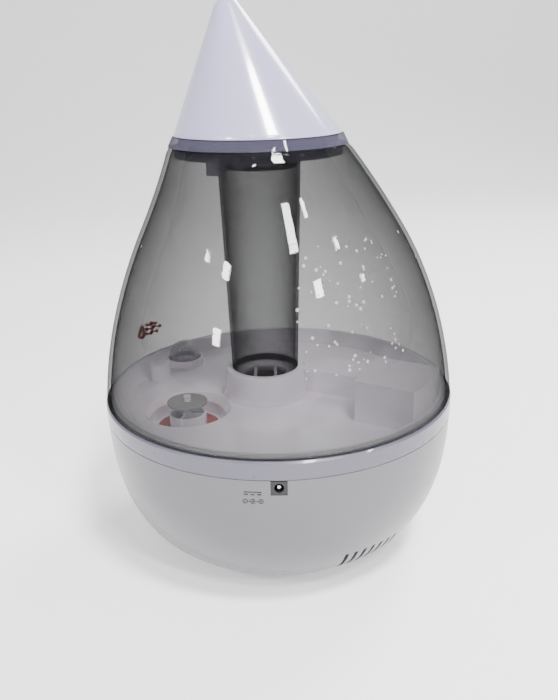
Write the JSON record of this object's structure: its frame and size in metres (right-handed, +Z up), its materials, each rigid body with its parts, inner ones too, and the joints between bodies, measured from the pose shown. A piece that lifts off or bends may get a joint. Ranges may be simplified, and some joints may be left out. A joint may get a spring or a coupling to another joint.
{
  "type": "cool mist humidifier",
  "caption": "Drop-shaped ultrasonic cool mist humidifier: white bowl base, clear lift-off tank with mist tube and float valve, and slanted white mist cone on a clear lid ring.",
  "frame": {"origin": "centre of the plane that the feet stand on", "axes": "+Z up along the axis of the bowl; the mist tube, the mouth and the lid stand 8.8 mm to -X of it; -Y the rear, with the power socket; +Y the front, with the control knob; +X to the right seen from the rear"},
  "size_m": [0.24, 0.24, 0.3624],
  "materials": {
    "bowl_white": "gloss",
    "deck_white": "gloss",
    "foot_rubber": "matte",
    "steel": "satin",
    "jack_black": "satin",
    "board_green": "satin",
    "sink_alloy": "satin",
    "parts_black": "satin",
    "disc_brass": "satin",
    "gasket_grey": "matte",
    "lead_black": "satin",
    "led_lens": "gloss",
    "cover_clear": "gloss",
    "float_foam": "matte",
    "knob_white": "gloss",
    "tank_clear": "gloss",
    "tube_clear": "gloss",
    "ring_clear": "gloss",
    "floor_white": "gloss",
    "seal_silicone": "satin",
    "gasket_red": "satin",
    "valve_white": "gloss",
    "disc_grey": "satin",
    "cone_white": "gloss"
  },
  "bodies": {
    "base": {"base_bowl": "bowl_white", "base_deck": "deck_white", "rubber_feet": "foot_rubber", "case_screws": "steel", "dc_jack": "jack_black", "jack_pin": "steel", "driver_board": "board_green", "heat_sink": "sink_alloy", "board_parts": "parts_black", "board_screws": "steel", "transducer_disc": "disc_brass", "transducer_gasket": "gasket_grey", "transducer_clamp": "sink_alloy", "transducer_screws": "steel", "fan_housing": "parts_black", "fan_screws": "steel", "potentiometer": "steel", "pot_nut": "steel", "light_switch": "board_green", "led_board": "board_green", "night_light_led": "led_lens", "led_cover": "cover_clear", "float_clip": "float_foam", "jack_lead": "lead_black", "transducer_lead": "lead_black", "fan_lead": "lead_black", "knob_lead": "lead_black", "led_lead": "lead_black"},
    "rotor": {"fan_rotor": "parts_black"},
    "knob": {"pot_shaft": "steel", "control_knob": "knob_white"},
    "button": {"light_button": "knob_white"},
    "float": {"water_float": "float_foam", "float_magnet": "steel"},
    "tank": {"tank_shell": "tank_clear", "tank_floor": "floor_white", "floor_seal": "seal_silicone", "mist_tube": "tube_clear", "mist_guard": "floor_white", "light_dome": "cover_clear", "dome_seal": "seal_silicone"},
    "valve_cap": {"valve_cap": "valve_white", "cap_gasket": "gasket_red", "valve_spring": "steel"},
    "valve": {"valve_stem": "valve_white", "valve_disc": "disc_grey"},
    "lid_ring": {"lid_ring": "ring_clear"},
    "mist_cone": {"mist_cone": "cone_white"}
  },
  "joints": [
    {"name": "tank_lift", "type": "slide", "parent": "base", "child": "tank", "axis": [0, 0, 1], "range_m": [0, 0.2]},
    {"name": "lid_lift", "type": "slide", "parent": "tank", "child": "lid_ring", "axis": [0, 0, 1], "range_m": [0, 0.12]},
    {"name": "cone_turn", "type": "hinge", "parent": "lid_ring", "child": "mist_cone", "pos_m": [-0.0088, 0, 0.28], "axis": [0, 0, 1], "continuous": true},
    {"name": "cap_twist", "type": "hinge", "parent": "tank", "child": "valve_cap", "pos_m": [-0.062, -0.0275, 0.09], "axis": [0, 0, 1], "range_deg": [0, 60]},
    {"name": "valve_lift", "type": "slide", "parent": "valve_cap", "child": "valve", "axis": [0, 0, 1], "range_m": [-0.0067, 0], "deforming": ["valve_spring"]},
    {"name": "knob_turn", "type": "hinge", "parent": "base", "child": "knob", "pos_m": [0, 0.11, 0.06], "axis": [0, -1, 0], "range_deg": [0, 270]},
    {"name": "button_press", "type": "slide", "parent": "base", "child": "button", "axis": [-0.4226, -0.9063, 0], "range_m": [0, 0.0015], "stiffness_N_per_m": 600},
    {"name": "float_rise", "type": "slide", "parent": "base", "child": "float", "axis": [0, 0, 1], "range_m": [0, 0.0042]},
    {"name": "fan_spin", "type": "hinge", "parent": "base", "child": "rotor", "pos_m": [0.07236, -0.04839, 0.06], "axis": [0, 0, 1], "continuous": true}
  ],
  "couplings": [
    {"joint": "valve_lift", "follows": "tank_lift", "ratio": -0.0335}
  ]
}
